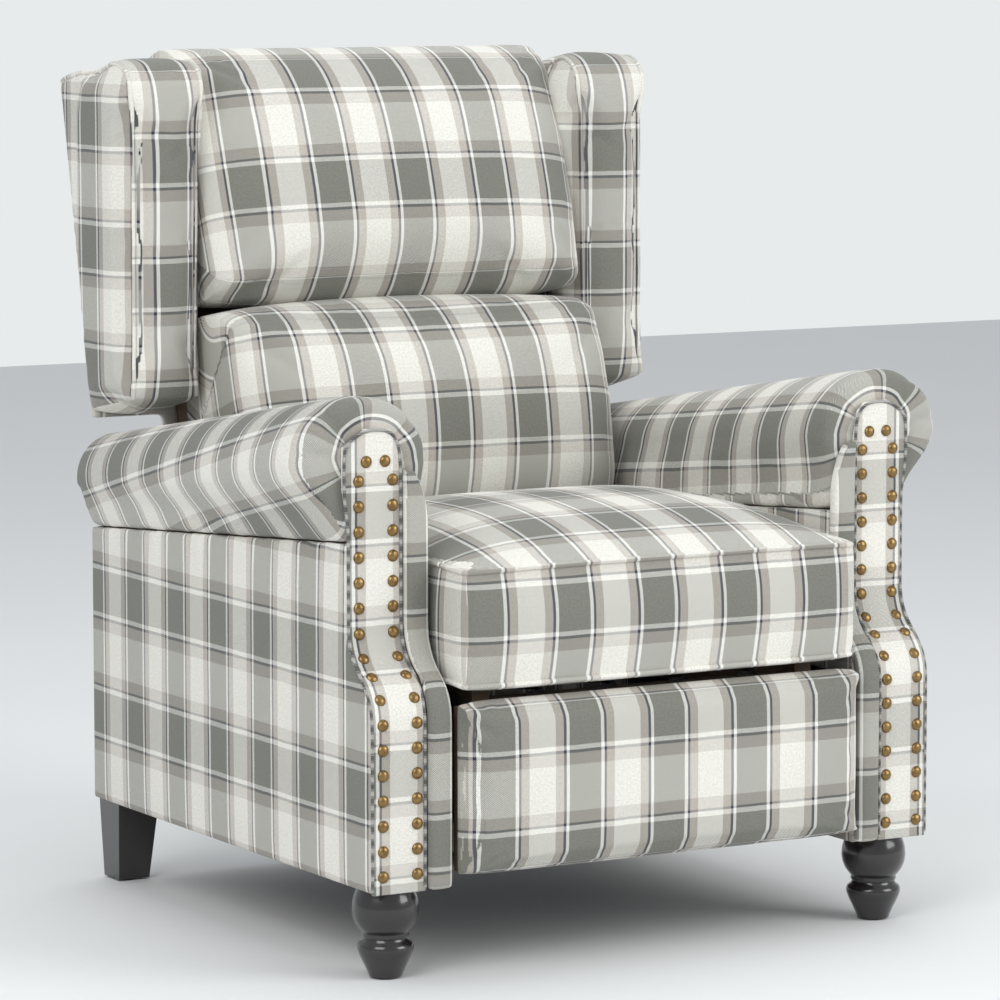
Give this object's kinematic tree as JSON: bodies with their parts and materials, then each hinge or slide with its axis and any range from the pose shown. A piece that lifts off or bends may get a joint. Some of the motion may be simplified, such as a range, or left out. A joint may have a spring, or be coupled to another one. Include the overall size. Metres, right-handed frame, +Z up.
{
  "type": "wingback recliner",
  "caption": "Upholstered push-back recliner with wings, rolled nailhead-trimmed arms, a reclining back, a gliding seat and a fold-out footrest on scissor links.",
  "frame": {"origin": "on the floor under the middle of the chair's bounding box", "axes": "+X to the right of someone facing the chair from the front, +Y to the rear, +Z up"},
  "size_m": [0.8336, 0.8363, 1.0183],
  "materials": {
    "plaid": "woven plaid",
    "leg_black": "gloss black lacquer",
    "nylon": "moulded",
    "steel": "black powder coat",
    "nail_nickel": "polished nickel",
    "timber": "sawn",
    "dust_cloth": "non-woven",
    "webbing": "woven strap"
  },
  "bodies": {
    "base": {"arm_boards": "timber", "corner_blocks": "timber", "cross_rails": "timber", "dust_cover": "dust_cloth", "hinge_plates": "steel", "left_arm_roll": "plaid", "left_base_rail": "timber", "left_front_leg": "leg_black", "left_front_post": "timber", "left_front_wrap": "plaid", "left_glide_rail": "steel", "left_inner_panel": "plaid", "left_nail_strip": "plaid", "left_rear_leg": "leg_black", "left_rear_post": "timber", "left_side_panel": "plaid", "leg_bolts": "steel", "leg_glides": "nylon", "nailheads": "nail_nickel", "rear_panels": "plaid", "right_arm_roll": "plaid", "right_base_rail": "timber", "right_front_leg": "leg_black", "right_front_post": "timber", "right_front_wrap": "plaid", "right_glide_rail": "steel", "right_inner_panel": "plaid", "right_nail_strip": "plaid", "right_rear_leg": "leg_black", "right_rear_post": "timber", "right_side_panel": "plaid"},
    "seat": {"seat_frame": "timber", "seat_springs": "steel", "seat_cushion": "plaid", "left_seat_side_plate": "steel", "right_seat_side_plate": "steel", "pivot_studs": "steel", "glide_blocks": "nylon"},
    "rear_links": {"left_rear_link": "steel", "right_rear_link": "steel"},
    "cross_links": {"left_cross_link": "steel", "right_cross_link": "steel"},
    "front_links": {"left_front_link": "steel", "right_front_link": "steel", "cross_tube": "steel"},
    "short_links": {"left_short_link": "steel", "right_short_link": "steel"},
    "footrest": {"footrest_board": "timber", "footrest_pad": "plaid", "left_footrest_bracket": "steel", "right_footrest_bracket": "steel"},
    "back": {"back_frame": "timber", "back_webbing": "webbing", "outside_back_panel": "plaid", "left_wing": "plaid", "right_wing": "plaid", "upper_bolster": "plaid", "lower_bolster": "plaid", "left_back_bracket": "steel", "right_back_bracket": "steel"}
  },
  "joints": [
    {"name": "back_recline", "type": "hinge", "parent": "base", "child": "back", "pos_m": [0, 0.26022, 0.32], "axis": [-1, 0, 0], "range_deg": [0, 40]},
    {"name": "seat_glide", "type": "slide", "parent": "base", "child": "seat", "axis": [0, -1, 0], "range_m": [0, 0.06]},
    {"name": "footrest_open", "type": "hinge", "parent": "seat", "child": "rear_links", "pos_m": [0, -0.2705, 0.292], "axis": [-1, 0, 0], "range_deg": [0, 68]},
    {"name": "cross_pivot", "type": "hinge", "parent": "rear_links", "child": "cross_links", "pos_m": [0, -0.29227, 0.20467], "axis": [-1, 0, 0], "range_deg": [-136, 0]},
    {"name": "elbow_pivot", "type": "hinge", "parent": "rear_links", "child": "front_links", "pos_m": [0, -0.31405, 0.11735], "axis": [-1, 0, 0], "range_deg": [-136, 0]},
    {"name": "short_pivot", "type": "hinge", "parent": "front_links", "child": "short_links", "pos_m": [0, -0.31719, 0.20729], "axis": [-1, 0, 0], "range_deg": [0, 136]},
    {"name": "footrest_tilt", "type": "hinge", "parent": "front_links", "child": "footrest", "pos_m": [0, -0.32033, 0.29724], "axis": [-1, 0, 0], "range_deg": [0, 158]}
  ],
  "couplings": [
    {"joint": "seat_glide", "follows": "back_recline", "m_per_rad": 0.0859},
    {"joint": "cross_pivot", "follows": "footrest_open", "ratio": -2},
    {"joint": "elbow_pivot", "follows": "footrest_open", "ratio": -2},
    {"joint": "short_pivot", "follows": "footrest_open", "ratio": 2},
    {"joint": "footrest_tilt", "follows": "footrest_open", "ratio": 2.3235}
  ]
}
